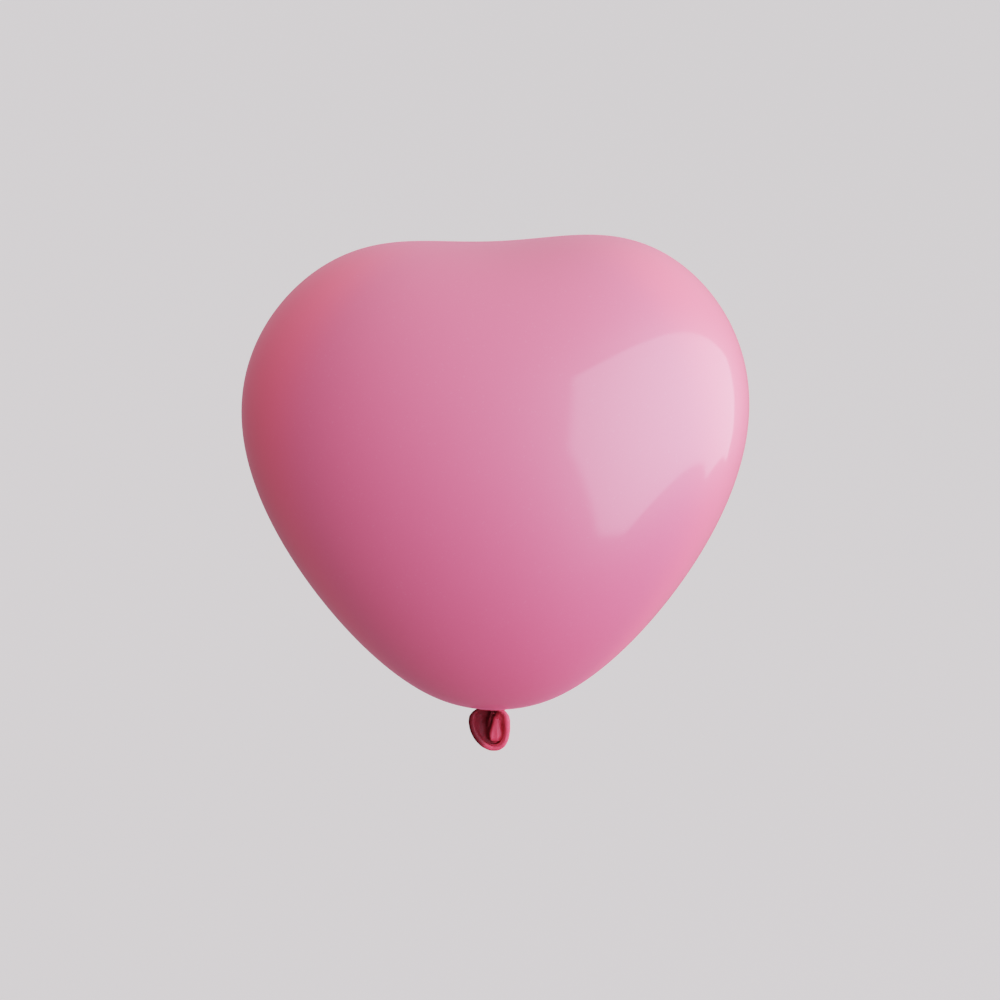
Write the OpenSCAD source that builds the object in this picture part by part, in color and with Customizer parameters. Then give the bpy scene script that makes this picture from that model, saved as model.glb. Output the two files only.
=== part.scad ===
// Heart-shaped latex balloon, blown up and knotted.
// Millimetres. +Z is up through the cleft, +X across the lobes, the front faces -Y.
// The origin is the middle of the tie groove on the neck, where a string or ribbon goes.

/* [Heart] */
// Width across the two lobes
heart_w = 287; // [200:1:420]
// Depth from front to back, before the valley is taken out
heart_d = 190; // [130:1:280]
// Height that the lobes would reach with no cleft between them
heart_h = 301; // [210:1:430]
// Depth taken out of the top, down the middle
cleft = 24; // [6:1:40]
// How tightly the cleft is gathered at the top
cleft_grip = 20; // [8:1:40]
// How far one lobe stands above its level place and the other below
lobe_lean = 5.7; // [0:0.1:10]
// Fullness of the width: the share added in step with height
width_full_1 = 0.53; // [0:0.01:1]
// Fullness of the width: the share added with height squared
width_full_2 = 0.84; // [0:0.01:1]
// Fullness of the width: the share added with height cubed
width_full_3 = -0.86; // [-1:0.01:0]
// Fullness of the depth: the share added in step with height
depth_full = 0.60; // [0:0.01:1]
// How deep the valley between the lobes runs down the front and back
valley = 0.20; // [0:0.01:0.35]
// How much the skin is flattened round the neck
base_flat = 4; // [0:0.1:5]
// How far the neck is drawn up into the skin
neck_draw = 1.5; // [0:0.1:2.5]
// Thickness of the skin
skin = 0.8; // [0.6:0.05:1.2]

/* [Neck] */
// Radius of the opening that the neck closes
opening_r = 4.8; // [4.5:0.1:5.5]
// Radius at the bottom of the tie groove
groove_r = 3.0; // [2.6:0.1:3.3]
// Height of the tie groove
groove_h = 1.6; // [1:0.1:1.8]
// Radius of the gathered neck below the groove
gather_r = 3.2; // [2.8:0.1:3.4]
// Radius of the neck's rounded end, inside the knot
neck_ball_r = 2.0; // [1.8:0.05:2.05]

/* [Knot] */
// Radius of the loop's centreline
loop_r = 4.2; // [4:0.1:4.6]
// Radius of the rubber that the loop is made of
loop_strand_r = 2.0; // [1.8:0.05:2.1]
// How far the knot sits behind the neck's axis
knot_back = 1.0; // [0.6:0.1:1.4]
// Tilt of the loop, front edge down
loop_tilt = 10; // [0:1:14]

/* [Tail] */
// Half width of the mouth, to the middle of the rolled lip
mouth_half_w = 11.1; // [8:0.1:12]
// How far the mouth hangs below its widest place
mouth_drop = 16.5; // [12:0.1:18]
// How far the mouth rises above its widest place
mouth_rise = 8.0; // [6:0.1:8.2]
// Radius of the rolled lip
lip_r = 1.6; // [1.2:0.05:1.7]
// Thickness of the tail's wall
tail_wall = 0.9; // [0.7:0.05:1]
// Radius of the tail's rounded root
tail_ball_r = 2.0; // [1.7:0.05:2.1]

/* [Hidden] */
$fn = 96;

gap = 0.3;               // room between pieces that move on each other
film = 0.05;             // room between pieces that stay together
envelope_z = -4.6;       // where the heart's own zero height lies
heart_sides = 56;        // points round the heart
outer_rings = 36;        // rings on the outside of the skin
inner_rings = 20;        // rings on the inside of the skin
first_turn = 6;          // turn of the first full ring above the opening, in degrees
opening_turn = 3;        // turn at which the skin has the opening's radius
flat_grip = 60;          // how closely the flattening keeps to the neck
draw_grip = 400;         // how closely the drawn-in ring keeps to the neck

cone_top = 1.1;          // underside of the skin at the neck
neck_pivot = [0, 0, -3.2];
gather_top = -groove_h / 2 - 0.3;
gather_bottom = gather_top - 1.0;
knot_centre = [0, knot_back, -6.4];
core_top = -3.4;
core_bottom = -9.8;
core_r = 3.6;
tail_pivot = [0, -5.2, -5.6];
mouth_centre = [-3.5, -11, -9.9];
root_front = tail_pivot - [0, tail_ball_r * 0.5, 0];
mouth_back = mouth_centre[1] + lip_r + film;
mouth_sides = 36;
lip_sides = 10;
tail_rings = 8;

body_pink = [0.86, 0.42, 0.56];
thick_pink = [0.80, 0.22, 0.36];

// ---- the heart's surface ----

// Share of the height reached at a turn from 0 (neck) to 180 (cleft)
function rise(turn) = (1 - cos(turn)) / 2;

// Half width and half depth at a turn, before they are scaled to size
function width_form(turn) =
    let (h = rise(turn))
    sin(turn) * (1 + width_full_1 * h + width_full_2 * h ^ 2 + width_full_3 * h ^ 3);
function depth_form(turn) = sin(turn) * (1 + depth_full * rise(turn));
width_peak = max([for (turn = [0:2:180]) width_form(turn)]);
depth_peak = max([for (turn = [0:2:180]) depth_form(turn)]);

// Height at a turn and an angle round Z: the side outline at 0 and 180, the middle one at 90 and 270
function heart_z(turn, round_z) =
    let (
        h = rise(turn),
        side = heart_h * h - cleft * h ^ cleft_grip,
        middle = (heart_h - cleft) * h,
        base = base_flat * (1 - h) ^ flat_grip + neck_draw * (1 - h) ^ draw_grip,
        lean = lobe_lean * cos(round_z) * width_form(turn) / width_peak * h ^ 2
    )
    side * cos(round_z) ^ 2 + middle * sin(round_z) ^ 2 + base + lean;

// Share of the depth that is left where the valley runs
function valley_share(turn, round_z) =
    1 - valley * rise(turn) ^ 3 * sin(turn) ^ 2 * sin(round_z) ^ 4;

// A point of the skin, moved inwards by inset
function heart_point(turn, round_z, inset) = [
    (heart_w / 2 - inset) * width_form(turn) / width_peak * cos(round_z),
    (heart_d / 2 - inset) * depth_form(turn) / depth_peak * sin(round_z) * valley_share(turn, round_z),
    envelope_z + inset + heart_z(turn, round_z) * (1 - 2 * inset / (heart_h - cleft))
];

function heart_ring(turn, inset) = [
    for (i = [0:heart_sides - 1]) heart_point(turn, 360 * i / heart_sides, inset)
];
function opening_ring(inset) = [
    for (i = [0:heart_sides - 1])
        let (a = 360 * i / heart_sides)
        [opening_r * cos(a), opening_r * sin(a), heart_point(opening_turn, a, inset)[2]]
];

// ---- closed meshes from rings ----

// Triangles between ring a and ring b, each of n points
function strip(a, b, n) = [
    for (i = [0:n - 1])
        let (j = (i + 1) % n)
        each [[a * n + i, b * n + j, a * n + j], [a * n + i, b * n + i, b * n + j]]
];
// Triangles from ring a to the single point p
function fan(a, p, n, flip) = [
    for (i = [0:n - 1])
        let (j = (i + 1) % n)
        flip ? [a * n + j, a * n + i, p] : [a * n + i, a * n + j, p]
];
// A skin through the rings in order, closed at both ends by the points first and last
module closed_skin(rings, first, last) {
    n = len(rings[0]);
    count = len(rings);
    polyhedron(
        points = [each [for (ring = rings) each ring], first, last],
        faces = [
            each [for (k = [0:count - 2]) each strip(k, k + 1, n)],
            each fan(0, count * n, n, false),
            each fan(count - 1, count * n + 1, n, true)
        ],
        convexity = 6
    );
}

// ---- the pieces ----

module envelope() {
    inner = [
        for (k = [inner_rings - 1:-1:0]) heart_ring(first_turn + (180 - first_turn) * k / inner_rings, skin)
    ];
    outer = [
        for (k = [0:outer_rings - 1]) heart_ring(first_turn + (180 - first_turn) * k / outer_rings, 0)
    ];
    color(body_pink)
        closed_skin(
            concat(inner, [opening_ring(skin), opening_ring(0)], outer),
            heart_point(180, 0, skin),
            heart_point(180, 0, 0)
        );
}

// The thick part of the skin: a plug in the opening, a cone, and the groove for a tie
module neck_cone() {
    color(thick_pink)
        rotate_extrude()
            polygon([
                [0, cone_top + skin + 0.6],
                [opening_r - 0.4, cone_top + skin + 0.6],
                [opening_r - 0.2, cone_top + skin],
                [opening_r - 0.2, cone_top - 0.2],
                [groove_r, groove_h / 2],
                [groove_r, -groove_h / 2],
                [0, -groove_h / 2]
            ]);
}

// The gathered neck, whose rounded end sits in the knot
module neck_gather() {
    color(thick_pink)
        union() {
            translate([0, 0, gather_bottom])
                cylinder(h = gather_top - gather_bottom, r = gather_r);
            translate([0, 0, gather_bottom - 0.4])
                cylinder(h = 0.5, r1 = neck_ball_r * 0.8, r2 = gather_r * 0.9);
            translate(neck_pivot)
                sphere(r = neck_ball_r);
        }
}

module loop_ring(strand_r) {
    translate(knot_centre)
        rotate([loop_tilt, 0, 0])
            rotate_extrude()
                translate([loop_r, 0])
                    circle(r = strand_r);
}

// Room for the two rounded ends that turn inside the knot
module knot_sockets() {
    translate(neck_pivot)
        sphere(r = neck_ball_r + gap);
    translate(tail_pivot)
        sphere(r = tail_ball_r + gap);
}

// The strand inside the loop, bulging above and below it
module knot_core() {
    color(thick_pink)
        difference() {
            translate([0, knot_back, 0])
                rotate_extrude()
                    polygon([
                        [0, core_top],
                        [core_r - 0.6, core_top],
                        [core_r, core_top - 0.6],
                        [core_r, core_bottom + 1.2],
                        [core_r - 1.2, core_bottom],
                        [0, core_bottom]
                    ]);
            loop_ring(loop_strand_r + film);
            knot_sockets();
        }
}

// The loop that is wrapped round the core and pulled tight
module knot_loop() {
    color(thick_pink)
        difference() {
            loop_ring(loop_strand_r);
            knot_sockets();
        }
}

// A point of the mouth's outline at an angle round it: an ellipse below, a flatter one above
function mouth_point(a, grow) =
    let (reach = sin(a) < 0 ? mouth_drop : mouth_rise)
    [(mouth_half_w + grow) * cos(a), 0, (reach + grow) * sin(a)];

// A ring of the funnel between its root (0) and its mouth (1), moved into the cup by inset
function funnel_ring(s, inset) = [
    for (i = [0:mouth_sides - 1])
        let (
            a = 360 * i / mouth_sides,
            root_r = tail_ball_r * 0.75 - inset * 0.4,
            mouth = mouth_point(a, -inset * s),
            flare = s ^ 0.6,
            forward = s ^ 1.6
        )
        [
            root_r * cos(a) * (1 - flare) + (mouth_centre[0] + mouth[0]) * flare,
            root_front[1] * (1 - forward) + mouth_back * forward - inset * (1 - s),
            (root_front[2] + root_r * sin(a)) * (1 - flare) + (mouth_centre[2] + mouth[2]) * flare
        ]
];

// The free end of the neck: a rounded root in the knot, flaring to the mouth
module tail_funnel() {
    outer = [for (k = [0:tail_rings]) funnel_ring(k / tail_rings, 0)];
    inner = [for (k = [tail_rings:-1:0]) funnel_ring(k / tail_rings, tail_wall)];
    color(thick_pink)
        union() {
            closed_skin(
                concat(outer, inner),
                root_front,
                root_front - [0, tail_wall, 0]
            );
            translate(tail_pivot)
                sphere(r = tail_ball_r);
        }
}

// The rolled lip round the mouth, a bead swept along the mouth's outline
module rolled_lip() {
    rings = [
        for (i = [0:mouth_sides - 1])
            let (
                a = 360 * i / mouth_sides,
                centre = mouth_centre + mouth_point(a, 0),
                ahead = mouth_point(a + 1, 0) - mouth_point(a - 1, 0),
                out = [ahead[2], 0, -ahead[0]] / norm(ahead)
            )
            [
                for (j = [0:lip_sides - 1])
                    let (b = 360 * j / lip_sides)
                    centre + lip_r * (out * cos(b) + [0, 1, 0] * sin(b))
            ]
    ];
    color(thick_pink)
        polyhedron(
            points = [for (ring = rings) each ring],
            faces = [for (i = [0:mouth_sides - 1]) each strip(i, (i + 1) % mouth_sides, lip_sides)],
            convexity = 4
        );
}

envelope();
neck_cone();
neck_gather();
knot_core();
knot_loop();
tail_funnel();
rolled_lip();
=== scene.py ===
"""Heart-shaped latex balloon, blown up and knotted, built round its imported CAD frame.

Everything is in metres in the part's own frame: +Z up through the cleft, +X across the lobes, front facing
-Y, origin in the middle of the tie groove on the neck.
"""

import sys
import logging
import math
from dataclasses import dataclass, field
from enum import Enum

import bpy
import numpy as np
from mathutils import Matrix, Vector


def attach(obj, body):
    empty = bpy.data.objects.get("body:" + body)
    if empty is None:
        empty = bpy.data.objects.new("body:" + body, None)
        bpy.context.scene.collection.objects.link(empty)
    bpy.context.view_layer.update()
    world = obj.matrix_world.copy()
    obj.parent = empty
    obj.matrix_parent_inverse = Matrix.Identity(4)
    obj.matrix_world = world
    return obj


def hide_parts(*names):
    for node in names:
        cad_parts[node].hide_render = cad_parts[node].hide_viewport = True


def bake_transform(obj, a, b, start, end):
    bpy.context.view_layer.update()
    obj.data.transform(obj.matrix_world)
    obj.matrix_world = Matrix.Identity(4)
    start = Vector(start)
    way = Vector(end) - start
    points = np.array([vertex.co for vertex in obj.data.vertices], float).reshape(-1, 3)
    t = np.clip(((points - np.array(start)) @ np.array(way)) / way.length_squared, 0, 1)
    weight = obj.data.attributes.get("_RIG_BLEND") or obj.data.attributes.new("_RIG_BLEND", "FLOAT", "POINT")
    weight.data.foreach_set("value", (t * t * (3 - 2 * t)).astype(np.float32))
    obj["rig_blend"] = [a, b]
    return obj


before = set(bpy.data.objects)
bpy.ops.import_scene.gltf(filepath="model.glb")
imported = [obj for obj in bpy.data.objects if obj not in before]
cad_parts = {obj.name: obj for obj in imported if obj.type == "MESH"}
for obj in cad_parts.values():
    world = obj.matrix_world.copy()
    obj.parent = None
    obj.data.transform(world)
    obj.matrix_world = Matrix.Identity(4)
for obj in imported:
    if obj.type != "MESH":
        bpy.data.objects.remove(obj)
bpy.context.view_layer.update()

logging.basicConfig(level=logging.INFO, format="%(message)s", stream=sys.stdout)
log = logging.getLogger("balloon")

MM = 0.001
FULL_TURN = 2 * math.pi

Pair = tuple[float, float]
Triple = tuple[float, float, float]
Array = np.ndarray
Socket = bpy.types.NodeSocket
Material = bpy.types.Material
Piece = bpy.types.Object


class Slot(Enum):
    """The record's material slots."""

    STRETCHED = "stretched_latex"
    THICK = "thick_latex"


class Body(Enum):
    """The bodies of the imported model."""

    BALLOON = "balloon"
    NECK = "neck"
    KNOT = "knot"
    TAIL = "tail"


# ---------------------------------------------------------------- shader arithmetic


class NodeBook:
    """Adds nodes to one node tree, always the same way: type, settings, then inputs."""

    def __init__(self, tree: bpy.types.NodeTree) -> None:
        """Empties the tree.

        Args:
            tree: The node tree of a material or of the world.
        """
        tree.nodes.clear()
        self.tree = tree

    def node(self, kind: str, settings: dict | None = None, inputs: dict | None = None) -> bpy.types.Node:
        """Adds one node.

        Args:
            kind: Blender's type name of the node.
            settings: Attributes that are set first.
            inputs: Values, Terms or sockets by the name or number of the input.

        Returns:
            The new node.
        """
        made = self.tree.nodes.new(kind)
        for name, value in (settings or {}).items():
            setattr(made, name, value)
        for name, value in (inputs or {}).items():
            self.feed(made.inputs[name], value)
        return made

    def feed(self, socket: Socket, value: object) -> None:
        """Links a Term or socket to an input, or sets a plain value on it.

        Args:
            socket: The input.
            value: A Term, a socket, a number or a tuple.
        """
        if isinstance(value, Term):
            value = value.socket
        if isinstance(value, Socket):
            self.tree.links.new(value, socket)
        elif isinstance(value, tuple) and socket.type == "RGBA" and len(value) == 3:
            socket.default_value = (*value, 1.0)
        else:
            socket.default_value = value

    def maths(self, operation: str, *terms: "Term | float") -> "Term":
        """Adds a Math node.

        Args:
            operation: Its operation.
            terms: Its inputs in order.

        Returns:
            The result as a Term.
        """
        made = self.node("ShaderNodeMath", {"operation": operation}, dict(enumerate(terms)))
        return Term(self, made.outputs[0])

    def mix(self, share: "Term | float", first: object, second: object) -> Socket:
        """Mixes two colours.

        Args:
            share: 0 for the first colour, 1 for the second.
            first: A colour socket or three numbers.
            second: A colour socket or three numbers.

        Returns:
            The mixed colour's socket.
        """
        made = self.node("ShaderNodeMix", {"data_type": "RGBA"}, {0: share, 6: first, 7: second})
        return made.outputs[2]

    def place(self) -> Socket:
        """The point's object coordinates."""
        return self.node("ShaderNodeTexCoord").outputs["Object"]

    def attribute(self, name: str) -> "Term":
        """The value of a number attribute of the mesh."""
        return Term(self, self.node("ShaderNodeAttribute", {"attribute_name": name}).outputs["Fac"])

    def noise(self, where: object, scale: float, detail: float = 2.0, rough: float = 0.5) -> "Term":
        """Cloudy noise.

        Args:
            where: The coordinates' socket.
            scale: Lumps per metre, or per unit of the coordinates.
            detail: Octaves.
            rough: Strength of the finer octaves.

        Returns:
            Noise around 0.5.
        """
        inputs = {"Vector": where, "Scale": scale, "Detail": detail, "Roughness": rough}
        return Term(self, self.node("ShaderNodeTexNoise", inputs=inputs).outputs[0])

    def stretched(self, where: object, factors: Triple) -> Socket:
        """Coordinates multiplied by one factor along each axis."""
        made = self.node("ShaderNodeVectorMath", {"operation": "MULTIPLY"}, {0: where, 1: factors})
        return made.outputs[0]

    def bump(self, strength: float, distance: float, height: "Term") -> Socket:
        """The normal of a surface with relief.

        Args:
            strength: Share of the relief that shows.
            distance: Height of the relief where height is 1, in metres.
            height: The relief.

        Returns:
            The normal's socket.
        """
        inputs = {"Strength": strength, "Distance": distance, "Height": height}
        return self.node("ShaderNodeBump", inputs=inputs).outputs[0]

    def output(self, shader: bpy.types.Node, kind: str = "ShaderNodeOutputMaterial") -> None:
        """Links a shader to the tree's output."""
        self.node(kind, inputs={"Surface": shader.outputs[0]})

    def uv(self) -> Socket:
        """The piece's own UV map."""
        return self.node("ShaderNodeUVMap", {"uv_map": "surface"}).outputs[0]


@dataclass(frozen=True)
class Term:
    """A number in a node tree. Arithmetic on it adds Math nodes."""

    book: NodeBook
    socket: Socket

    def __add__(self, other: "Term | float") -> "Term":
        """Self plus other."""
        return self.book.maths("ADD", self, other)

    def __radd__(self, other: float) -> "Term":
        """Other plus self."""
        return self.book.maths("ADD", other, self)

    def __sub__(self, other: "Term | float") -> "Term":
        """Self minus other."""
        return self.book.maths("SUBTRACT", self, other)

    def __rsub__(self, other: float) -> "Term":
        """Other minus self."""
        return self.book.maths("SUBTRACT", other, self)

    def __mul__(self, other: "Term | float") -> "Term":
        """Self times other."""
        return self.book.maths("MULTIPLY", self, other)

    def __rmul__(self, other: float) -> "Term":
        """Other times self."""
        return self.book.maths("MULTIPLY", other, self)

    def __truediv__(self, other: "Term | float") -> "Term":
        """Self divided by other."""
        return self.book.maths("DIVIDE", self, other)

    def __pow__(self, power: float) -> "Term":
        """Self to a power."""
        return self.book.maths("POWER", self, power)

    def between(self, low: float, high: float) -> "Term":
        """A smooth step from 0 at low to 1 at high."""
        step = {"interpolation_type": "SMOOTHSTEP"}
        made = self.book.node("ShaderNodeMapRange", step, {0: self, 1: low, 2: high, 3: 0.0, 4: 1.0})
        return Term(self.book, made.outputs[0])


# ---------------------------------------------------------------- finishes


@dataclass(frozen=True)
class StretchedLatex:
    """Thin coloured latex, blown up tight: satin gloss over a slightly cloudy pink."""

    thin: Triple = (0.72, 0.110, 0.185)
    # thick: the deeper colour of less-stretched skin, also the colour of the painted shade towards the bottom
    thick: Triple = (0.60, 0.035, 0.075)
    # side: colour of the painted glow of light that has come through the skin, on the flanks
    side: Triple = (0.96, 0.115, 0.175)
    powder: Triple = (0.80, 0.50, 0.60)
    cloud_share: float = 0.16
    streak_share: float = 0.05
    fine_share: float = 0.03
    speck_share: float = 0.05
    cloud_scale: float = 11.0
    streak_scale: float = 55.0
    streak_stretch: Triple = (1.0, 1.0, 0.22)
    fine_scale: float = 420.0
    speck_scale: float = 900.0
    speck_rarity: Pair = (0.735, 0.80)
    roughness: float = 0.45
    gloss: float = 0.80
    coat: float = 0.55
    coat_roughness: float = 0.06
    sheen: float = 0.50
    sheen_roughness: float = 0.35
    sheen_tint: Triple = (1.0, 0.20, 0.30)
    index: float = 1.5
    bump_height: float = 0.00004
    bump_strength: float = 0.25
    ripple: float = 3.0
    peel: float = 0.5

    def material(self) -> Material:
        """Builds the material.

        Base colour goes from thin to thick with the mesh's own "thickness_and_shade" attribute and with soft
        clouds: deeper where the skin is less stretched, as the dye is, deeper again towards the bottom as
        painted shade, and varied along the radial folds by the neck. The "side" attribute paints the flanks
        brighter and redder: a painted glow of light that has come through the skin. Sparse powder specks lie
        on top. The bump is a very fine orange peel and broad ripples.

        Returns:
            The material.
        """
        made = bpy.data.materials.new("stretched_latex")
        made.use_nodes = True
        book = NodeBook(made.node_tree)
        where = book.place()
        cloud = book.noise(where, self.cloud_scale, detail=3.0, rough=0.45) - 0.5
        streak = book.noise(book.stretched(where, self.streak_stretch), self.streak_scale) - 0.5
        fine = book.noise(where, self.fine_scale) - 0.5
        speck = book.noise(where, self.speck_scale, detail=0.0).between(*self.speck_rarity)
        mottle = cloud * self.cloud_share + streak * self.streak_share + fine * self.fine_share
        # thickness_and_shade: less-stretched skin plus painted shade towards the bottom
        share = book.attribute("thickness_and_shade") + mottle
        tint = book.mix(share.between(0.0, 1.0), self.thin, self.thick)
        # painted glow of light through the skin on the flanks
        tint = book.mix(book.attribute("side").between(0.0, 1.0), tint, self.side)
        tint = book.mix(speck * self.speck_share, tint, self.powder)
        height = fine * self.peel + cloud * self.ripple
        bump = book.bump(self.bump_strength, self.bump_height, height)
        rough = self.roughness + fine * 0.06 + cloud * 0.08 + speck * 0.05
        shader = book.node(
            "ShaderNodeBsdfPrincipled",
            inputs={
                "Base Color": tint,
                "Roughness": rough,
                "Normal": bump,
                "Coat Weight": self.coat,
                "Coat Roughness": self.coat_roughness,
                "Coat IOR": self.index,
                "IOR": self.index,
                "Specular IOR Level": self.gloss,
                "Sheen Weight": self.sheen,
                "Sheen Roughness": self.sheen_roughness,
                "Sheen Tint": self.sheen_tint,
            },
        )
        book.output(shader)
        return made


@dataclass(frozen=True)
class ThickLatex:
    """Unstretched latex of the neck, knot and tail: deep crimson, satin, with fine drawn wrinkles."""

    bare: Triple = (0.66, 0.056, 0.082)
    # crease: colour of the painted shade in fold hollows and shaded places
    crease: Triple = (0.075, 0.0010, 0.0035)
    # crest_highlight: colour of the painted highlight on lit fold crests
    crest_highlight: Triple = (0.88, 0.15, 0.20)
    crease_range: Pair = (0.20, 0.85)
    crease_share: float = 0.95
    cloud_share: float = 0.25
    line_share: float = 0.30
    crest_highlight_share: float = 0.28
    wrinkles: Triple = (42.0, 2.0, 1.0)
    cloud_scale: float = 260.0
    grain_scale: float = 2600.0
    roughness: float = 0.46
    gloss: float = 0.20
    coat: float = 0.03
    coat_roughness: float = 0.22
    glow: float = 0.20
    glow_colour: Triple = (1.0, 0.20, 0.25)
    glow_depth: float = 1.0 * MM
    index: float = 1.5
    bump_height: float = 0.00014
    bump_strength: float = 0.6

    def material(self, name: str) -> Material:
        """Builds the material.

        Wrinkles run along the second direction of the UV map. Painted shade comes from the mesh's own
        "crease" attribute: 1 at the bottom of a fold and where shade falls, 0 on a lit crest, where a
        painted highlight goes on. Light spreads a little below the surface.

        Args:
            name: The material's name.

        Returns:
            The material.
        """
        made = bpy.data.materials.new(name)
        made.use_nodes = True
        book = NodeBook(made.node_tree)
        lines = book.noise(book.stretched(book.uv(), self.wrinkles), 1.0, detail=3.0)
        grain = book.noise(book.place(), self.grain_scale) - 0.5
        cloud = book.noise(book.place(), self.cloud_scale) - 0.5
        # painted shade: darker in fold hollows and where shade falls
        crease = book.attribute("crease")
        mottle = cloud * self.cloud_share + (lines - 0.5) * self.line_share
        depth = crease.between(*self.crease_range) * self.crease_share + mottle
        tint = book.mix(depth.between(0.0, 1.0), self.bare, self.crease)
        # painted highlight on lit crests, along the wrinkle lines
        crest = (1.0 - crease).between(0.80, 1.0) * lines.between(0.45, 0.75) * self.crest_highlight_share
        tint = book.mix(crest, tint, self.crest_highlight)
        bump = book.bump(self.bump_strength, self.bump_height, lines * 0.8 + grain * 0.25)
        rough = self.roughness + grain * 0.16 + crease * 0.30
        shader = book.node(
            "ShaderNodeBsdfPrincipled",
            inputs={
                "Base Color": tint,
                "Roughness": rough,
                "Normal": bump,
                "Coat Weight": self.coat,
                "Coat Roughness": self.coat_roughness,
                "IOR": self.index,
                "Specular IOR Level": self.gloss,
                "Subsurface Weight": self.glow,
                "Subsurface Radius": self.glow_colour,
                "Subsurface Scale": self.glow_depth,
            },
        )
        book.output(shader)
        return made


# ---------------------------------------------------------------- meshes from grids


@dataclass
class GridSurface:
    """A closed surface from a grid of points, rows by columns, that wraps round along the columns.

    The rows either wrap too, as on a bead, or end at two poles. UVs run 0 to 1 along columns and rows.
    """

    name: str
    points: Array
    poles: tuple[Array, Array] | None = None
    values: dict[str, Array] = field(default_factory=dict)

    def _quads(self, rows: int, columns: int) -> tuple[Array, Array]:
        """Corner numbers of the quads and their UVs.

        Args:
            rows: Rows of the grid.
            columns: Columns of the grid.

        Returns:
            Corners, four a face, and UVs, four a face.
        """
        last = rows if self.poles is None else rows - 1
        row, column = np.meshgrid(np.arange(last), np.arange(columns), indexing="ij")
        row, column = row.ravel(), column.ravel()
        steps = ((0, 0), (0, 1), (1, 1), (1, 0))
        corners = [((row + r) % rows) * columns + (column + c) % columns for r, c in steps]
        uvs = [np.stack([(column + c) / columns, (row + r) / last], axis=1) for r, c in steps]
        return np.stack(corners, axis=1), np.stack(uvs, axis=1)

    def _fans(self, rows: int, columns: int) -> tuple[Array, Array]:
        """Triangles that close the two ends, as (corners, UVs)."""
        column = np.arange(columns)
        ahead = (column + 1) % columns
        first = rows * columns
        base = first - columns
        low = np.stack([ahead, column, np.full(columns, first)], axis=1)
        high = np.stack([base + column, base + ahead, np.full(columns, first + 1)], axis=1)
        across = np.stack([column + 1.0, column, column + 0.5], axis=1) / columns
        low_uv = np.stack([across, np.zeros_like(across)], axis=-1)
        high_uv = np.stack([across[:, [1, 0, 2]], np.ones_like(across)], axis=-1)
        return np.concatenate([low, high]), np.concatenate([low_uv, high_uv])

    def build(self) -> Piece:
        """Makes the object, smooth and facing outwards.

        Returns:
            The new object, linked to the scene.
        """
        rows, columns = self.points.shape[:2]
        vertices = self.points.reshape(-1, 3)
        quads, quad_uvs = self._quads(rows, columns)
        corners, uvs, sizes = quads.reshape(-1), quad_uvs.reshape(-1, 2), np.full(len(quads), 4)
        if self.poles is not None:
            vertices = np.concatenate([vertices, np.array(self.poles)])
            fans, fan_uvs = self._fans(rows, columns)
            corners = np.concatenate([corners, fans.reshape(-1)])
            uvs = np.concatenate([uvs, fan_uvs.reshape(-1, 2)])
            sizes = np.concatenate([sizes, np.full(len(fans), 3)])
        starts = np.concatenate([[0], np.cumsum(sizes)[:-1]])
        if self._volume(vertices, quads) < 0:
            order = self._reversed(starts, sizes)
            corners, uvs = corners[order], uvs[order]
        mesh = bpy.data.meshes.new(self.name)
        mesh.vertices.add(len(vertices))
        mesh.vertices.foreach_set("co", vertices.astype(np.float32).ravel())
        mesh.loops.add(len(corners))
        mesh.loops.foreach_set("vertex_index", corners.astype(np.int32))
        mesh.polygons.add(len(sizes))
        mesh.polygons.foreach_set("loop_start", starts.astype(np.int32))
        mesh.polygons.foreach_set("loop_total", sizes.astype(np.int32))
        mesh.update(calc_edges=True)
        mesh.polygons.foreach_set("use_smooth", np.ones(len(sizes), bool))
        layer = mesh.uv_layers.new(name="surface")
        layer.data.foreach_set("uv", uvs.astype(np.float32).ravel())
        for name, value in self.values.items():
            flat = value.reshape(-1)
            if self.poles is not None:
                flat = np.concatenate([flat, [value[0].mean(), value[-1].mean()]])
            attribute = mesh.attributes.new(name, "FLOAT", "POINT")
            attribute.data.foreach_set("value", flat.astype(np.float32))
        mesh.validate()
        made = bpy.data.objects.new(self.name, mesh)
        bpy.context.scene.collection.objects.link(made)
        return made

    @staticmethod
    def _volume(vertices: Array, quads: Array) -> float:
        """Six times the volume that the quads enclose, positive when they face outwards."""
        a, b, c, d = (vertices[quads[:, k]] - vertices.mean(axis=0) for k in range(4))
        return float((np.cross(a, b) * c).sum() + (np.cross(a, c) * d).sum())

    @staticmethod
    def _reversed(starts: Array, sizes: Array) -> Array:
        """The corner order that turns every face round.

        Args:
            starts: First corner of each face.
            sizes: Corners of each face.

        Returns:
            Numbers of the corners in their new order.
        """
        face = np.repeat(np.arange(len(sizes)), sizes)
        inside = np.arange(len(face)) - starts[face]
        return starts[face] + sizes[face] - 1 - inside


def dress(piece: Piece, look: Material, cad_node: str) -> Piece:
    """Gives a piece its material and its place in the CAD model.

    Args:
        piece: A piece that already rides or blends.
        look: Its material.
        cad_node: The CAD node that it replaces.

    Returns:
        The finished piece.
    """
    piece.data.materials.append(look)
    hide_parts(cad_node)
    return piece


def turns(count: int) -> Array:
    """Angles of evenly spaced points round a full turn."""
    return np.linspace(0, FULL_TURN, count, endpoint=False)


def smooth(low: float, high: float, value: Array) -> Array:
    """A smooth step from 0 at low to 1 at high: 3t^2 - 2t^3 of the clipped share t."""
    share = np.clip((value - low) / (high - low), 0.0, 1.0)
    return share * share * (3 - 2 * share)


def hump(value: Array, middle: float, width: float) -> Array:
    """A bell, 1 at the middle: e^-((value - middle) / width)^2."""
    return np.exp(-(((value - middle) / width) ** 2))


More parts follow.
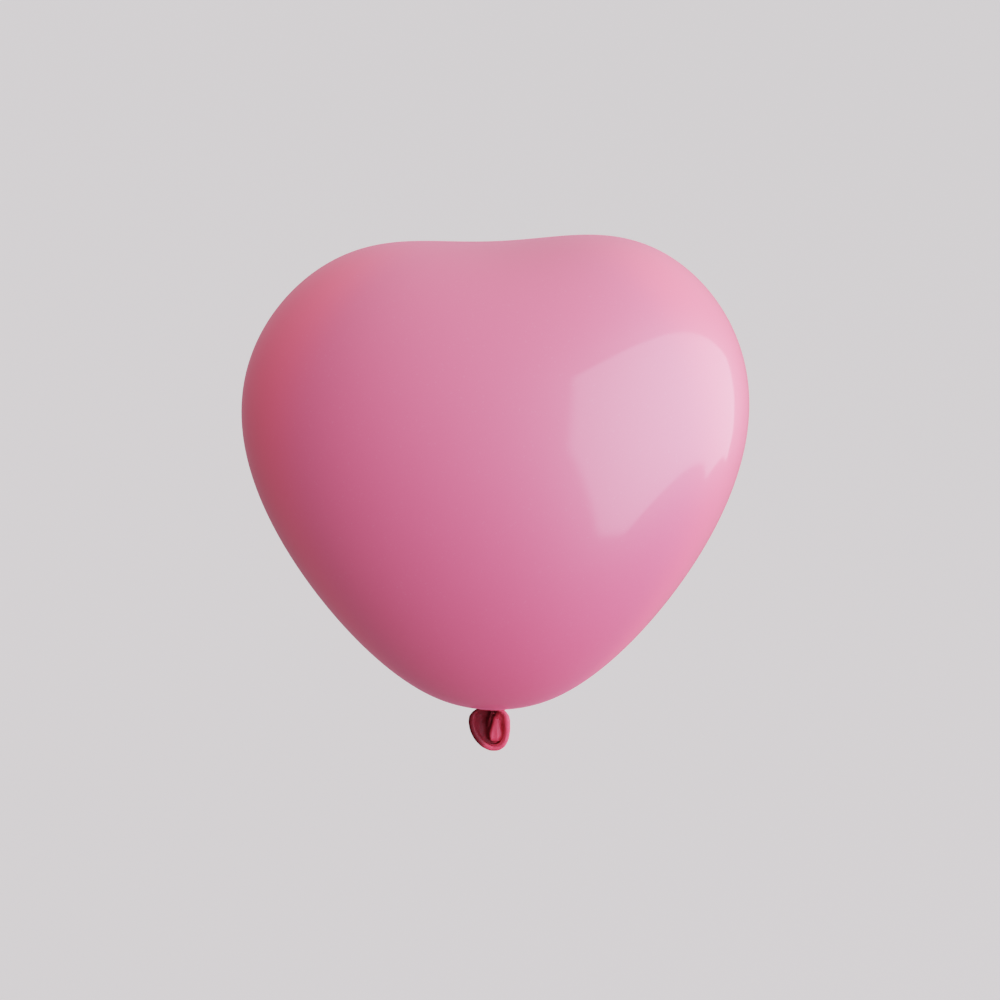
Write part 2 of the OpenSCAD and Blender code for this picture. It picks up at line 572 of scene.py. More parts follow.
def folds(angle: Array, count: int, seed: int) -> Array:
    """Uneven folds round a gathered neck.

    The sum of three cosines whose whole wave numbers lie near the count, with fixed phases from the seed,
    squared off by tanh: from about -1 in a fold's hollow to about 1 on a crest.

    Args:
        angle: Angles round the neck.
        count: Folds in a full turn.
        seed: Which set of phases.

    Returns:
        The height of the folds.
    """
    phase = np.random.default_rng(seed).uniform(0, FULL_TURN, 3)
    waves = (
        0.60 * np.cos(count * angle + phase[0])
        + 0.30 * np.cos((count + 3) * angle + phase[1])
        + 0.25 * np.cos((count - 4) * angle + phase[2])
    )
    return np.tanh(waves * 1.4)


def fold_shade(wave: Array) -> Array:
    """Painted shade of a folds() wave: little on the crests, and no more than half dark between them."""
    return 0.10 + 0.20 * (1 - wave)


# ---------------------------------------------------------------- the heart


@dataclass
class Heart:
    """The blown-up skin: a hollow shell, open at the neck."""

    width: float = 287 * MM
    depth: float = 190 * MM
    height: float = 301 * MM
    cleft: float = 24 * MM
    cleft_grip: float = 20
    lean: float = 5.7 * MM
    fullness: Triple = (0.53, 0.84, -0.86)
    depth_fullness: float = 0.60
    valley: float = 0.20
    base_flat: float = 4 * MM
    flat_grip: float = 60
    neck_draw: float = 1.5 * MM
    draw_grip: float = 400
    base_height: float = -4.6 * MM
    wall: float = 0.8 * MM
    first_turn: float = math.radians(3.2)
    crowding: float = 0.09
    pleats: int = 19
    pleat_height: float = 0.45 * MM
    pleat_start: Pair = (3.6 * MM, 6 * MM)
    pleat_reach: float = 13 * MM
    resting_thickness: float = 0.10
    # painted shade: the skin's colour deepens towards the bottom, where less light falls
    bottom_shade: float = 0.30
    neck_thickness: float = 0.40
    cleft_thickness: float = 0.10
    neck_reach: float = 30 * MM
    cleft_reach: float = 55 * MM
    columns: int = 256
    outer_rows: int = 210
    inner_rows: int = 60

    def _forms(self, turn: Array) -> tuple[Array, Array, Array]:
        """Height share, half-width share and half-depth share at a turn.

        The height share h is (1 - cos turn) / 2. The width is sin(turn) times a cubic in h, and the
        depth is sin(turn) times (1 + fullness h), each divided by its own peak.

        Args:
            turn: Turns from 0 at the neck to pi at the cleft.

        Returns:
            The three shares.
        """

        def raw(t: Array) -> tuple[Array, Array, Array]:
            """The forms before they are scaled."""
            h = (1 - np.cos(t)) / 2
            one, two, three = self.fullness
            wide = np.sin(t) * (1 + one * h + two * h**2 + three * h**3)
            return h, wide, np.sin(t) * (1 + self.depth_fullness * h)

        _, wides, deeps = raw(np.linspace(0, math.pi, 2001))
        share, wide, deep = raw(turn)
        return share, wide / wides.max(), deep / deeps.max()

    def surface(self, turn: Array, around: Array, inset: float) -> Array:
        """Points of the skin.

        x is the half width times cos(around). y is the half depth times sin(around), less where the
        valley runs. z mixes the side outline, which the cleft is taken out of, with the middle one by
        cos^2 and sin^2 of the angle round, and adds the flattened base and the lean of the lobes.

        Args:
            turn: Turns from 0 at the neck to pi at the cleft.
            around: Angles round Z, from +X.
            inset: How far the points lie inside the skin's outside.

        Returns:
            The points.
        """
        share, wide, deep = self._forms(turn)
        cosine, sine = np.cos(around), np.sin(around)
        valley = 1 - self.valley * share**3 * np.sin(turn) ** 2 * sine**4
        side = self.height * share - self.cleft * share**self.cleft_grip
        middle = (self.height - self.cleft) * share
        base = self.base_flat * (1 - share) ** self.flat_grip + self.neck_draw * (1 - share) ** self.draw_grip
        lean = self.lean * cosine * wide * share**2
        z = side * cosine**2 + middle * sine**2 + base + lean
        return np.stack(
            [
                (self.width / 2 - inset) * wide * cosine,
                (self.depth / 2 - inset) * deep * sine * valley,
                self.base_height + inset + z * (1 - 2 * inset / (self.height - self.cleft)),
            ],
            axis=-1,
        )

    def _rows(self, count: int) -> Array:
        """Turns of the rings, closer together near the neck and near the cleft."""
        share = np.linspace(0, 1, count + 1)[:-1]
        eased = share - self.crowding * np.sin(FULL_TURN * share)
        return self.first_turn + (math.pi - self.first_turn) * eased

    def skin(self, count: int, inset: float) -> tuple[Array, Array]:
        """One side of the skin from the opening to just before the cleft.

        Radial folds run out from the neck and die away: a folds() wave times the fold height times a
        bell of the distance from the neck, added along Z, where the skin is nearly level.

        Args:
            count: Rings.
            inset: How far inside the outside it lies.

        Returns:
            The grid of points, and its share of folding from -1 to 1.
        """
        turn, around = np.meshgrid(self._rows(count), turns(self.columns), indexing="ij")
        points = self.surface(turn, around, inset)
        reach = np.hypot(points[..., 0], points[..., 1])
        fade = smooth(*self.pleat_start, reach) * np.exp(-((reach / self.pleat_reach) ** 1.6))
        fade = fade * (points[..., 2] < self.height / 2)
        wave = folds(np.arctan2(points[..., 1], points[..., 0]), self.pleats, 3)
        points[..., 2] += self.pleat_height * wave * fade
        return points, wave * fade

    def _thickness_and_shade(self, points: Array) -> Array:
        """How little the skin is stretched at each point, most at the neck and less at the cleft, with
        painted shade added towards the bottom.
        """
        reach = np.hypot(points[..., 0], points[..., 1])
        height = points[..., 2]
        near_neck = np.exp(-((reach / self.neck_reach) ** 1.5)) * (height < self.height / 2)
        near_cleft = np.exp(-((reach / self.cleft_reach) ** 2)) * (height > self.height / 2)
        # painted shade, growing towards the bottom
        low = smooth(self.height * 0.62, 0.0, height)
        whole = self.resting_thickness + self.bottom_shade * low
        return whole + self.neck_thickness * near_neck + self.cleft_thickness * near_cleft

    def _painted_glow(self, points: Array) -> Array:
        """How far each point gets the painted glow of light through the skin on the two flanks, which fades
        towards the neck and the cleft.

        Args:
            points: The grid of points, whose columns start at +X.

        Returns:
            1 along the middle of each flank, 0 on the front and back.
        """
        height = points[..., 2]
        ends = smooth(0.0, 40 * MM, height) * smooth(self.height, self.height - 50 * MM, height)
        below = np.maximum(0.45 * self.height - height, 0)
        outer = smooth(10 * MM, 95 * MM, np.abs(points[..., 0]) + 0.45 * below)
        return smooth(0.62, 0.97, np.abs(np.cos(turns(self.columns))))[None, :] * ends * outer

    def build(self, finish: StretchedLatex) -> Piece:
        """Builds and dresses the skin.

        Args:
            finish: Its latex.

        Returns:
            The finished piece.
        """
        outer, outer_fold = self.skin(self.outer_rows, 0.0)
        inner, inner_fold = self.skin(self.inner_rows, self.wall)
        points = np.concatenate([inner[::-1], outer])
        fold = np.concatenate([inner_fold[::-1], outer_fold])
        pole = np.array([[math.pi]])
        poles = tuple(self.surface(pole, pole * 0, inset)[0, 0] for inset in (self.wall, 0.0))
        # less-stretched skin and painted shade towards the bottom, varied along the radial folds
        thickness_and_shade = np.clip(self._thickness_and_shade(points) - 0.2 * fold, 0, 1)
        # "side" carries the painted glow of light through the skin on the flanks
        values = {"thickness_and_shade": thickness_and_shade, "side": self._painted_glow(points)}
        piece = GridSurface("heart_skin", points, poles, values).build()
        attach(piece, Body.BALLOON.value)
        return dress(piece, finish.material(), "envelope")


# ---------------------------------------------------------------- the neck


@dataclass
class Neck:
    """The gathered neck under the heart: a folded cone with the tie groove, and the gather below it."""

    top: float = 2.3 * MM
    throat: float = 6.0 * MM
    groove: float = 3.0 * MM
    groove_half: float = 0.8 * MM
    gather: float = 3.2 * MM
    gather_top: float = -0.62 * MM
    gather_end: float = -4.3 * MM
    step: Pair = (0.8 * MM, 1.7 * MM)
    flare: float = 0.12 * MM
    groove_folds: float = 0.10 * MM
    throat_folds: float = 0.22 * MM
    gather_folds: float = 0.16 * MM
    folds: int = 19
    columns: int = 240

    def _tube(self, name: str, heights: Array, radii: Array, fold_heights: Array) -> Piece:
        """A folded tube round Z.

        The radius at a height is the profile's own plus the fold height there times folds() of the angle.

        Args:
            name: The piece's name.
            heights: Heights of the rings, in order.
            radii: Radius of each ring.
            fold_heights: Height of the folds at each ring.

        Returns:
            The new piece.
        """
        around = turns(self.columns)[None, :]
        wave = folds(around, self.folds, 3)
        radius = radii[:, None] + fold_heights[:, None] * wave
        tall = np.broadcast_to(heights[:, None], radius.shape)
        points = np.stack([radius * np.cos(around), radius * np.sin(around), tall], axis=-1)
        # painted shade in the hollows between the folds
        crease = np.broadcast_to(fold_shade(wave), radius.shape)
        poles = (np.array([0, 0, heights[0]]), np.array([0, 0, heights[-1]]))
        return GridSurface(name, points, poles, {"crease": crease}).build()

    def cone(self, finish: ThickLatex) -> Piece:
        """Builds the cone with the tie groove. It wrings between the heart and the gather.

        Its profile falls from the throat inside the skin to the groove by a smooth step, stays at the
        groove's radius, and flares a little at its foot.

        Args:
            finish: Its latex.

        Returns:
            The finished piece.
        """
        heights = np.linspace(self.top, -self.groove_half, 46)
        radii = self.groove + (self.throat - self.groove) * smooth(*self.step, heights)
        radii = radii + self.flare * smooth(-self.groove_half / 2, -self.groove_half, heights)
        fold_heights = self.groove_folds + self.throat_folds * smooth(0.6 * MM, 1.2 * MM, heights)
        piece = self._tube("neck_cone_folds", heights, radii, fold_heights)
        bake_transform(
            piece,
            Body.BALLOON.value,
            Body.NECK.value,
            start=(0, 0, 1.2 * MM),
            end=(0, 0, -self.groove_half),
        )
        return dress(piece, finish.material("neck_latex"), "neck_cone")

    def gathered(self, finish: ThickLatex) -> Piece:
        """Builds the gather below the groove. It bends between the neck and the knot.

        Its profile is tucked into the cone's foot, swells out below the groove and narrows into the knot,
        where its end is hidden.

        Args:
            finish: Its latex.

        Returns:
            The finished piece.
        """
        heights = np.linspace(self.gather_top, self.gather_end, 48)
        share = (heights - self.gather_top) / (self.gather_end - self.gather_top)
        tuck = 0.12 * smooth(-1.15 * MM, -0.80 * MM, heights)
        swell = 0.10 * np.sin(math.pi * np.clip(share * 1.4, 0, 1))
        radii = self.gather * (0.93 + swell - 0.25 * share**2 - tuck)
        piece = self._tube("neck_gather_folds", heights, radii, np.full_like(heights, self.gather_folds))
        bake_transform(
            piece,
            Body.NECK.value,
            Body.KNOT.value,
            start=(0, 0, -1.4 * MM),
            end=(0, 0, -3.7 * MM),
        )
        return dress(piece, finish.material("gather_latex"), "neck_gather")


# ---------------------------------------------------------------- the knot


@dataclass
class Knot:
    """The overhand knot: a loop of the neck pulled tight round its own strand."""

    centre: Triple = (0.0, 1.0 * MM, -6.4 * MM)
    loop: float = 4.2 * MM
    strand: float = 2.0 * MM
    core: float = 3.6 * MM
    core_top: float = -3.35 * MM
    core_foot: float = -9.8 * MM
    tilt: float = math.radians(10)
    overlap: float = math.radians(50)
    start_angle: float = math.radians(60)
    climb: float = 1.7 * MM
    strand_folds: int = 9
    strand_fold_depth: float = 0.055
    strand_twist: float = 2.2
    core_folds: int = 13
    core_fold_depth: float = 0.05
    core_twist: float = 0.8
    grip: float = 0.30
    grip_half: float = 2.0 * MM

    def strand_path(self, share: Array) -> Array:
        """Centreline of the wrapped strand.

        The angle goes once round and a bit further. The distance from the core's axis is the loop's
        own, but draws in to the core at both ends. The height climbs steadily, so that the ends pass
        over and under each other, and the whole ring is tilted, front edge down.

        Args:
            share: Shares of the way from 0 to 1.

        Returns:
            The points.
        """
        angle = self.start_angle + share * (FULL_TURN + self.overlap)
        ends = smooth(0.0, 0.10, share) * smooth(1.0, 0.90, share)
        reach = self.loop * (0.35 + 0.65 * ends)
        climb = (share - 0.5) * self.climb * (1 + 0.8 * (1 - ends))
        x, y = reach * np.cos(angle), reach * np.sin(angle)
        z = climb + y * math.sin(self.tilt)
        return np.stack([x, y * math.cos(self.tilt), z], axis=-1) + np.array(self.centre)

    def wrapped(self, finish: ThickLatex) -> Piece:
        """Builds the wrapped strand, a folded tube carried along strand_path().

        The tube's section is a circle, a little flattened against the core, with folds() lengthwise that
        slowly turn on the way.

        Args:
            finish: Its latex.

        Returns:
            The finished piece.
        """
        rows, columns = 220, 96
        share = np.linspace(0, 1, rows)
        middle = self.strand_path(share)
        ahead = np.gradient(middle, axis=0)
        ahead /= np.linalg.norm(ahead, axis=1, keepdims=True)
        out = middle - np.array(self.centre)
        out -= (out * ahead).sum(axis=1, keepdims=True) * ahead
        out /= np.linalg.norm(out, axis=1, keepdims=True)
        up = np.cross(ahead, out)
        around = turns(columns)[None, :]
        ends = (smooth(0.0, 0.06, share) * smooth(1.0, 0.94, share))[:, None]
        wave = folds(around + self.strand_twist * share[:, None], self.strand_folds, 5)
        thin = 0.90 + 0.06 * np.sin(FULL_TURN * 2 * share + 0.6)[:, None]
        radius = self.strand * thin * (0.55 + 0.45 * ends) * (1 + self.strand_fold_depth * wave)
        flat, tall = 0.95 * np.cos(around), 1.04 * np.sin(around)
        offset = flat[..., None] * out[:, None, :] + tall[..., None] * up[:, None, :]
        points = middle[:, None, :] + radius[..., None] * offset
        poles = (middle[0], middle[-1])
        # painted shade in the hollows between the folds
        piece = GridSurface("knot_wrap", points, poles, {"crease": fold_shade(wave)}).build()
        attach(piece, Body.KNOT.value)
        return dress(piece, finish.material("knot_wrap_latex"), "knot_loop")

    def strand_inside(self, finish: ThickLatex) -> Piece:
        """Builds the strand inside the loop, which bulges above and below it.

        Its radius at a height is the core's own, pinched where the loop grips it, with rounded ends, plus
        upright folds().

        Args:
            finish: Its latex.

        Returns:
            The finished piece.
        """
        rows, columns = 90, 128
        share = np.linspace(0, 1, rows)
        heights = self.core_top + (self.core_foot - self.core_top) * share
        ends = np.sqrt(np.clip(1 - np.abs(2 * share - 1) ** 5, 0.02, 1))
        pinch = 1 - self.grip * hump(heights, self.centre[2], self.grip_half)
        around = turns(columns)[None, :]
        wave = folds(around + self.core_twist * share[:, None], self.core_folds, 7)
        radius = (self.core * ends * pinch)[:, None] * (1 + self.core_fold_depth * wave)
        tall = np.broadcast_to(heights[:, None], radius.shape)
        points = np.stack([radius * np.cos(around), radius * np.sin(around) + self.centre[1], tall], axis=-1)
        poles = tuple(np.array([0.0, self.centre[1], h]) for h in (heights[0], heights[-1]))
        # painted shade in the hollows between the folds
        piece = GridSurface("knot_strand", points, poles, {"crease": fold_shade(wave)}).build()
        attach(piece, Body.KNOT.value)
        return dress(piece, finish.material("knot_strand_latex"), "knot_core")


# ---------------------------------------------------------------- the tail


@dataclass(frozen=True)
class Ridge:
    """A fold that stands up from the cup's floor along a straight line, steep on its left side."""

    top: Pair
    foot: Pair
    top_width: float
    foot_width: float
    height: float
    left_share: float = 0.60
    fade_in: Pair = (-0.30, 0.05)
    rounding: Pair = (0.62, 0.42)

    def rise(self, x: Array, z: Array) -> Array:
        """Height of the fold over each point.

        A flat-topped bell of the distance from the line, whose half width grows from the top's to the
        foot's and is narrower on the left. It fades in at the top and ends in a quarter circle at the
        foot.

        Args:
            x: X of the points.
            z: Z of the points.

        Returns:
            The heights.
        """
        start, way = np.array(self.top), np.array(self.foot) - np.array(self.top)
        length = np.linalg.norm(way)
        way = way / length
        along = ((x - start[0]) * way[0] + (z - start[1]) * way[1]) / length
        left = (x - start[0]) * way[1] - (z - start[1]) * way[0]
        width = self.top_width + (self.foot_width - self.top_width) * smooth(0.0, 0.7, along)
        width = width * np.where(left > 0, self.left_share, 1.0)
        past = np.clip((along - self.rounding[0]) / self.rounding[1], 0, 1)
        ends = smooth(*self.fade_in, along) * np.sqrt(1 - past**2)
        return self.height * np.exp(-np.abs(left / (width * (0.35 + 0.65 * ends))) ** 3) * ends


@dataclass
class Tail:
    """The free end of the neck: a cup that flares to a rolled mouth, with folds that stand up inside it."""

    root: Triple = (0.0, -3.6 * MM, -5.6 * MM)
    root_radius: float = 1.9 * MM
    mouth: Triple = (-3.5 * MM, -11.0 * MM, -9.9 * MM)
    half_width: float = 10.4 * MM
    drop: float = 16.2 * MM
    rise: float = 8.5 * MM
    lean: float = 2.2 * MM
    squareness: Triple = (0.42, 0.85, 1.10)
    lip: float = 1.9 * MM
    lip_thinning: float = 0.50
    roll_end: float = 3.6
    roll_half: float = 0.30
    roll_step: float = 0.10
    wall: float = 0.7 * MM
    hollow: Pair = (-9.0 * MM, -11.5 * MM)
    hollow_half: Pair = (4.2 * MM, 8.5 * MM)
    hollow_depth: float = 2.6 * MM
    ridge_fade: Pair = (-1.8 * MM, -4.0 * MM)
    ripple: float = 0.20 * MM
    ripple_count: int = 11
    ridges: tuple[Ridge, ...] = (
        Ridge((4.2 * MM, -1.5 * MM), (0.4 * MM, -13.5 * MM), 2.2 * MM, 4.2 * MM, 4.0 * MM),
        Ridge((1.0 * MM, -9.0 * MM), (-1.0 * MM, -22.4 * MM), 3.4 * MM, 4.9 * MM, 4.5 * MM, 0.85),
        Ridge((-1.5 * MM, -2.0 * MM), (-4.3 * MM, -16.0 * MM), 0.8 * MM, 1.7 * MM, 2.2 * MM, 0.9),
    )
    columns: int = 260
    rows: int = 90

    def outline(self, angle: Array, grow: float = 0.0) -> Array:
        """The mouth's outline: squarer above its widest place, and fuller on the right below it.

        X is the half width times a power of the cosine, one of squareness above, on the right and on
        the left, and leans to the right towards the foot. Z is the rise or the drop times the sine.

        Args:
            angle: Angles round the mouth, from +X towards +Z.
            grow: How much wider it is made.

        Returns:
            Points in X and Z about the mouth's centre.
        """
        across, up = np.cos(angle), np.sin(angle)
        below = np.clip(-up, 0, 1)
        above, right, left = self.squareness
        power = np.where(up > 0, above, np.where(across > 0, right, left))
        reach = np.where(up < 0, self.drop, self.rise) + grow
        side = np.sign(across) * np.abs(across) ** power
        return np.stack([(self.half_width + grow) * side + self.lean * below**1.3, reach * up], axis=-1)

    def bead_radius(self, angle: Array) -> Array:
        """Radius of the rolled bead: full round the foot of the mouth, and thinner along its top."""
        return self.lip * (1 - self.lip_thinning * smooth(0.30, 0.95, np.sin(angle)))

    def _relief(self, x: Array, z: Array) -> Array:
        """How far the floor of the cup comes forward: the highest of the ridges over each point."""
        return np.max([ridge.rise(x, z) for ridge in self.ridges], axis=0) * smooth(*self.ridge_fade, z)

    def _sink(self, x: Array, z: Array) -> Array:
        """The hollow left of the ridges: a bell in X times a bell in Z, 1 at its middle."""
        return hump(x, self.hollow[0], self.hollow_half[0]) * hump(z, self.hollow[1], self.hollow_half[1])

    def _wall(self, share: Array, angle: Array, inside: float) -> tuple[Array, Array]:
        """Points of the cup's wall and how much painted shade each gets.

        X and Z go from the root's circle to the mouth's outline by share^0.6, and Y from the root to
        the back of the lip by share^1.6, so that the floor is nearly flat and the rim steep. The hollow
        pushes both sides of the wall back, and the ridges draw the inside forward, up to the middle of
        the lip. Painted shade is darkest in the ripples and at the root and, inside, in the hollow, on the
        left and in the groove along the rim; the ridges' crests get none.

        Args:
            share: 0 at the root, 1 at the mouth.
            angle: Angles round the mouth.
            inside: 0 on the outside and 1 on the inside.

        Returns:
            The points, and their painted shade from 0 to 1.
        """
        flare, forward = share**0.6, share**1.6
        edge = self.outline(angle, -0.4 * MM * inside)
        rim = smooth(1.0, 0.84 - 0.16 * (1 - inside), share)
        wave = folds(angle, self.ripple_count, 9) * np.sin(math.pi * share) ** 0.8
        circle = self.root_radius * (1 - 0.3 * inside)
        x = (self.root[0] + circle * np.cos(angle)) * (1 - flare) + (self.mouth[0] + edge[..., 0]) * flare
        z = (self.root[2] + circle * np.sin(angle)) * (1 - flare) + (self.mouth[2] + edge[..., 1]) * flare
        lip_back = self.mouth[1] + self.bead_radius(angle) * 0.9
        sink, relief = self._sink(x, z), self._relief(x, z)
        y = self.root[1] * (1 - forward) + lip_back * forward - self.wall * inside + self.ripple * wave
        y = y + (self.hollow_depth * sink - relief * (0.35 + 0.65 * inside)) * rim
        y = np.maximum(y, self.mouth[1] - 0.5 * self.lip)
        high = relief / max(ridge.height for ridge in self.ridges)
        near_root = np.exp(-((share / 0.30) ** 2))
        # painted shade on the left, away from the light
        shade = smooth(1.0 * MM, -6.0 * MM, x)
        # painted shade inside: the hollow, the left, the groove along the rim, none on the ridges' crests
        hidden = 0.80 * sink + 0.75 * shade - 1.0 * high + 0.6 * hump(share, 0.93, 0.05) + 0.20
        # painted shade in the ripples and at the root, with the inside's added
        low = 0.35 - 0.25 * wave + 0.5 * near_root + hidden * inside
        return np.stack([x, y, z], axis=-1), np.clip(low, 0, 1)

    def cup(self, finish: ThickLatex) -> Piece:
        """Builds the cup, outside and inside, closed at the root and joined at the mouth.

        Args:
            finish: Its latex.

        Returns:
            The finished piece.
        """
        share, angle = np.meshgrid(np.linspace(0, 1, self.rows), turns(self.columns), indexing="ij")
        outside, outside_crease = self._wall(share, angle, 0.0)
        inside, inside_crease = self._wall(share[::-1], angle, 1.0)
        points = np.concatenate([outside, inside])
        crease = np.concatenate([outside_crease, inside_crease])
        poles = (outside[0].mean(axis=0), inside[-1].mean(axis=0))
        piece = GridSurface("tail_cup", points, poles, {"crease": crease}).build()
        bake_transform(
            piece,
            Body.KNOT.value,
            Body.TAIL.value,
            start=(0, -4.4 * MM, -5.6 * MM),
            end=(0, -6.8 * MM, -5.6 * MM),
        )
        return dress(piece, finish.material("tail_latex"), "tail_funnel")

    def bead(self, finish: ThickLatex) -> Piece:
        """Builds the rolled lip, a bead carried along the outline.

        The bead's section is a circle with a shallow step where the roll ends, and its radius varies a
        little along the way. Its left, which lies in shade, gets painted shade, and so does the step where
        the roll ends.

        Args:
            finish: Its latex.

        Returns:
            The finished piece.
        """
        rows, columns = 320, 40
        angle = turns(rows)
        flat = self.outline(angle)
        step = 0.01
        ahead = self.outline(angle + step) - self.outline(angle - step)
        ahead /= np.linalg.norm(ahead, axis=1, keepdims=True)
        out = np.stack([ahead[:, 1], np.zeros(rows), -ahead[:, 0]], axis=1)
        middle = np.stack([flat[:, 0], np.zeros(rows), flat[:, 1]], axis=1) + np.array(self.mouth)
        around = turns(columns)[None, :]
        wander = np.mod(around + 0.5 * np.sin(angle * 2)[:, None], FULL_TURN)
        roll = hump(wander, self.roll_end, self.roll_half)
        uneven = 1 + 0.035 * np.sin(5 * angle + 1.0)[:, None] + 0.018 * np.sin(17 * angle)[:, None]
        radius = self.bead_radius(angle)[:, None] * uneven * (1 - self.roll_step * roll)
        back = np.array([0.0, 1.0, 0.0])
        offset = np.cos(around)[..., None] * out[:, None, :] + np.sin(around)[..., None] * back
        points = middle[:, None, :] + radius[..., None] * offset
        # painted shade on the left of the bead, and in the step where the roll ends
        shade = smooth(0.70, -0.80, np.cos(angle + 0.30))[:, None] * 0.85
        crease = np.clip(shade + roll * 0.5, 0, 1)
        piece = GridSurface("rolled_bead", points, None, {"crease": crease}).build()
        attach(piece, Body.TAIL.value)
        return dress(piece, finish.material("lip_latex"), "rolled_lip")


# ---------------------------------------------------------------- the studio


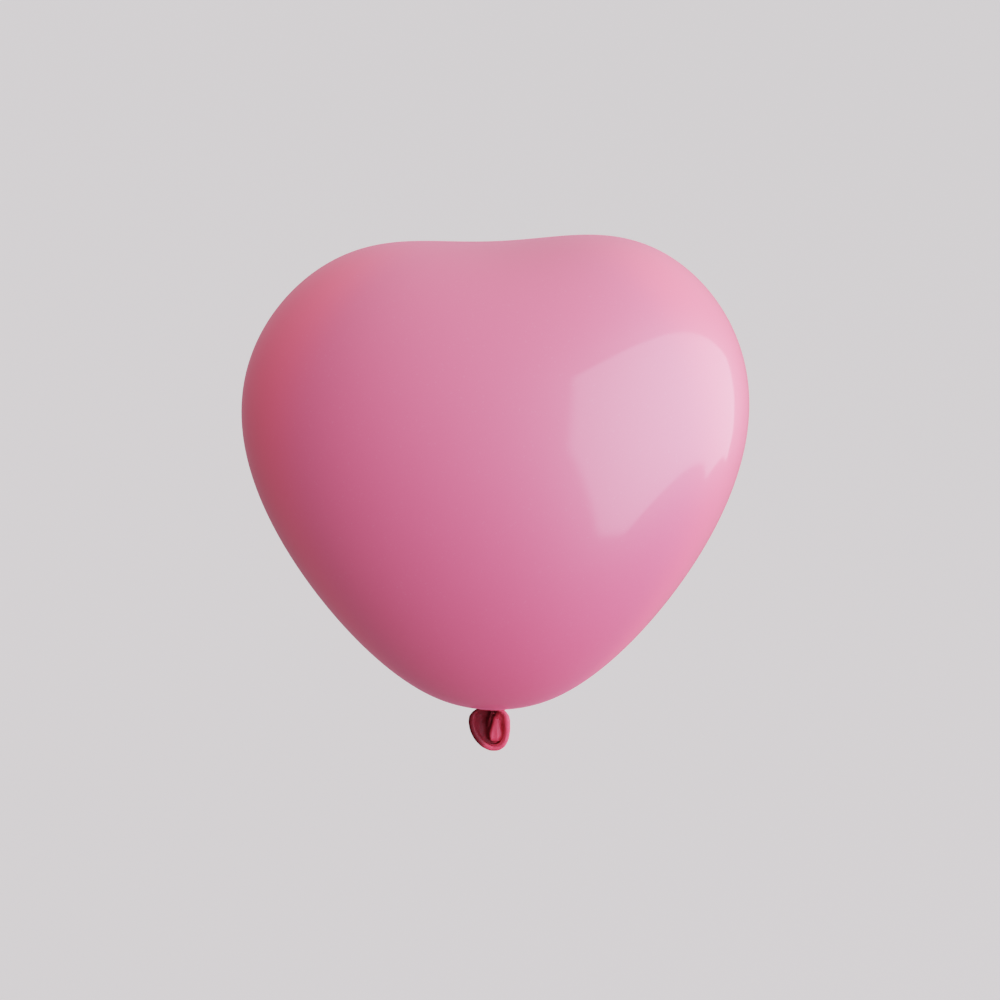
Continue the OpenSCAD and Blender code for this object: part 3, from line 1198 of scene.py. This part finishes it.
@dataclass
class Studio:
    """Pale floor that sweeps up into a wall all round, one large window light, and the camera."""

    floor_height: float = -1.45
    floor_radius: float = 3.0
    sweep: float = 1.6
    wall_top: float = 3.6
    backdrop: Triple = (0.645, 0.615, 0.625)
    paper_glow: float = 1.60
    paper_dimming: float = 0.85
    aim: Triple = (0.0, 0.0, 0.1354)
    elevation: float = math.radians(16)
    distance: float = 1.0
    lens: float = 62.7
    shift: Pair = (0.0048, -0.0189)
    light_azimuth: float = math.radians(55)
    light_distance: float = 1.6
    light_centre: float = 0.16
    card: tuple[float, float, float, float] = (-1.0, 1.9, -1.0, 0.95)
    card_grade: Triple = (0.14, 0.08, 0.72)
    light_colour: Triple = (0.90, 0.76, 1.04)
    light_strength: float = 9.1
    fill_colour: Triple = (1.05, 0.77, 0.90)
    fill_strength: float = 2.0
    fill_floor: float = 0.215
    fill_from: Triple = (0.66, -0.05, 0.75)
    fill_grip: float = 2.6

    def sweep_floor(self) -> Piece:
        """Builds the floor and the wall as one surface turned round Z.

        The profile is level to the floor's radius, then a quarter circle up, then upright.

        Returns:
            The staged object.
        """
        quarter = np.linspace(0, math.pi / 2, 24)[1:]
        level = np.linspace(0.02, self.floor_radius, 12)
        wall = self.floor_radius + self.sweep
        radii = np.concatenate([level, self.floor_radius + self.sweep * np.sin(quarter), [wall]])
        bend = self.sweep * (1 - np.cos(quarter))
        heights = np.concatenate([np.zeros_like(level), bend, [self.wall_top - self.floor_height]])
        around = turns(96)
        ring = np.stack([np.cos(around), np.sin(around)], axis=-1)
        flat = radii[:, None, None] * ring[None]
        tall = np.broadcast_to((heights + self.floor_height)[:, None, None], (*flat.shape[:2], 1))
        points = np.concatenate([flat, tall], axis=-1)
        rows, columns = points.shape[:2]
        row, column = (a.ravel() for a in np.indices((rows - 1, columns)))
        low, ahead = row * columns, (column + 1) % columns
        faces = np.stack([low + column, low + ahead, low + columns + ahead, low + columns + column], axis=1)
        mesh = bpy.data.meshes.new("studio_sweep")
        mesh.from_pydata(points.reshape(-1, 3).tolist(), [], [*faces.tolist(), list(range(columns))])
        mesh.polygons.foreach_set("use_smooth", np.ones(len(mesh.polygons), bool))
        made = bpy.data.materials.new("studio_paper")
        made.use_nodes = True
        book = NodeBook(made.node_tree)
        grain = book.noise(book.place(), 9.0, detail=4.0)
        tint = book.mix(grain * 0.04, self.backdrop, tuple(0.9 * c for c in self.backdrop))
        shade = book.mix(self.paper_dimming, tint, (0.0, 0.0, 0.0))
        paper = book.node("ShaderNodeBsdfDiffuse", inputs={"Color": shade})
        glow = book.node("ShaderNodeEmission", inputs={"Color": tint, "Strength": self.paper_glow})
        both = book.node("ShaderNodeAddShader", inputs={0: paper.outputs[0], 1: glow.outputs[0]})
        book.output(both)
        mesh.materials.append(made)
        sweep = bpy.data.objects.new("studio_sweep", mesh)
        sweep.visible_diffuse = sweep.visible_glossy = sweep.visible_shadow = False
        bpy.context.scene.collection.objects.link(sweep)
        return sweep

    def window(self) -> Piece:
        """Builds the window light, a large upright card to the right whose own pattern gives its shape.

        The UVs count the card's distance in X and Y from its middle. The shape is all of these at once:
        under a shallow arch, right of an edge that slants below the middle, above the sill, left of the
        far end, and outside two ellipses that stand for what is in front of the sill. It grows brighter
        to the upper right.

        Returns:
            The staged object.
        """
        sine, cosine = math.sin(self.light_azimuth), math.cos(self.light_azimuth)
        towards, across = np.array([sine, -cosine, 0.0]), np.array([cosine, sine, 0.0])
        up = np.array([0.0, 0.0, 1.0])
        left, right, low, high = self.card
        centre = np.array([0.0, 0.0, self.light_centre]) + self.light_distance * towards
        corners = [
            centre + self.light_distance * (across * x + up * y)
            for x, y in ((left, low), (right, low), (right, high), (left, high))
        ]
        mesh = bpy.data.meshes.new("window_light")
        mesh.from_pydata([tuple(c) for c in corners], [], [(3, 2, 1, 0)])
        layer = mesh.uv_layers.new(name="surface")
        layer.data.foreach_set("uv", [left, high, right, high, right, low, left, low])
        made = bpy.data.materials.new("window_light")
        made.use_nodes = True
        book = NodeBook(made.node_tree)
        split = book.node("ShaderNodeSeparateXYZ", inputs={0: book.uv()})
        x, y = Term(book, split.outputs[0]), Term(book, split.outputs[1])
        top = (0.77 - 0.16 * x * x - y).between(0.0, 0.06)
        side = (x + 0.82 - 0.62 * book.maths("MAXIMUM", 0.0 - y, 0.0)).between(0.0, 0.12)
        foot = (y + 0.78).between(0.0, 0.12)
        end = (1.75 - x).between(0.0, 0.12)
        arch = (((x - 0.40) / 0.50) ** 2.0 + ((y + 0.95) / 0.58) ** 2.0).between(0.90, 1.12)
        shoulder = (((x - 1.05) / 0.70) ** 2.0 + ((y + 1.05) / 0.50) ** 2.0).between(0.90, 1.12)
        brightness = x * self.card_grade[0] + y * self.card_grade[1] + self.card_grade[2]
        shape = top * side * foot * end * arch * shoulder * brightness
        glow = {"Color": self.light_colour, "Strength": self.light_strength}
        light = book.node("ShaderNodeEmission", inputs=glow)
        clear = book.node("ShaderNodeBsdfTransparent")
        both = book.node("ShaderNodeMixShader", inputs={0: shape, 1: clear.outputs[0], 2: light.outputs[0]})
        book.output(both)
        mesh.materials.append(made)
        card = bpy.data.objects.new("window_light", mesh)
        card.visible_camera = False
        bpy.context.scene.collection.objects.link(card)
        return card

    def world(self) -> None:
        """Lights everything softly from all sides, most from fill_from."""
        world = bpy.data.worlds.new("studio_air")
        world.use_nodes = True
        bpy.context.scene.world = world
        book = NodeBook(world.node_tree)
        way = book.node("ShaderNodeTexCoord").outputs["Generated"]
        facing = book.node("ShaderNodeVectorMath", {"operation": "DOT_PRODUCT"}, {0: way, 1: self.fill_from})
        share = (0.5 + 0.5 * Term(book, facing.outputs["Value"])) ** self.fill_grip
        strength = share * self.fill_strength + self.fill_floor
        air = book.node("ShaderNodeBackground", inputs={"Color": self.fill_colour, "Strength": strength})
        book.output(air, "ShaderNodeOutputWorld")

    def camera(self) -> Piece:
        """Places the camera in front of the balloon, a little above it, looking down at it."""
        data = bpy.data.cameras.new("camera")
        data.lens = self.lens
        data.shift_x, data.shift_y = self.shift
        made = bpy.data.objects.new("camera", data)
        made.location = (
            self.aim[0],
            self.aim[1] - self.distance * math.cos(self.elevation),
            self.aim[2] + self.distance * math.sin(self.elevation),
        )
        made.rotation_euler = (math.pi / 2 - self.elevation, 0.0, 0.0)
        bpy.context.scene.collection.objects.link(made)
        bpy.context.scene.camera = made
        return made

    def build(self) -> None:
        """Builds the whole studio."""
        self.sweep_floor()
        self.window()
        self.world()
        self.camera()
        bpy.context.scene.view_settings.view_transform = "Filmic"


def report(piece: Piece) -> None:
    """Works out the loop triangles of one finished piece's mesh.

    Args:
        piece: The piece.
    """
    mesh = piece.data
    mesh.calc_loop_triangles()


def main() -> None:
    """Builds the balloon from the skin down to the tail, then the studio."""
    thick = ThickLatex()
    neck, knot, tail = Neck(), Knot(), Tail()
    report(Heart().build(StretchedLatex()))
    report(neck.cone(thick))
    report(neck.gathered(thick))
    report(knot.strand_inside(thick))
    report(knot.wrapped(thick))
    report(tail.cup(thick))
    report(tail.bead(thick))
    Studio().build()


if __name__ == "__main__":
    main()
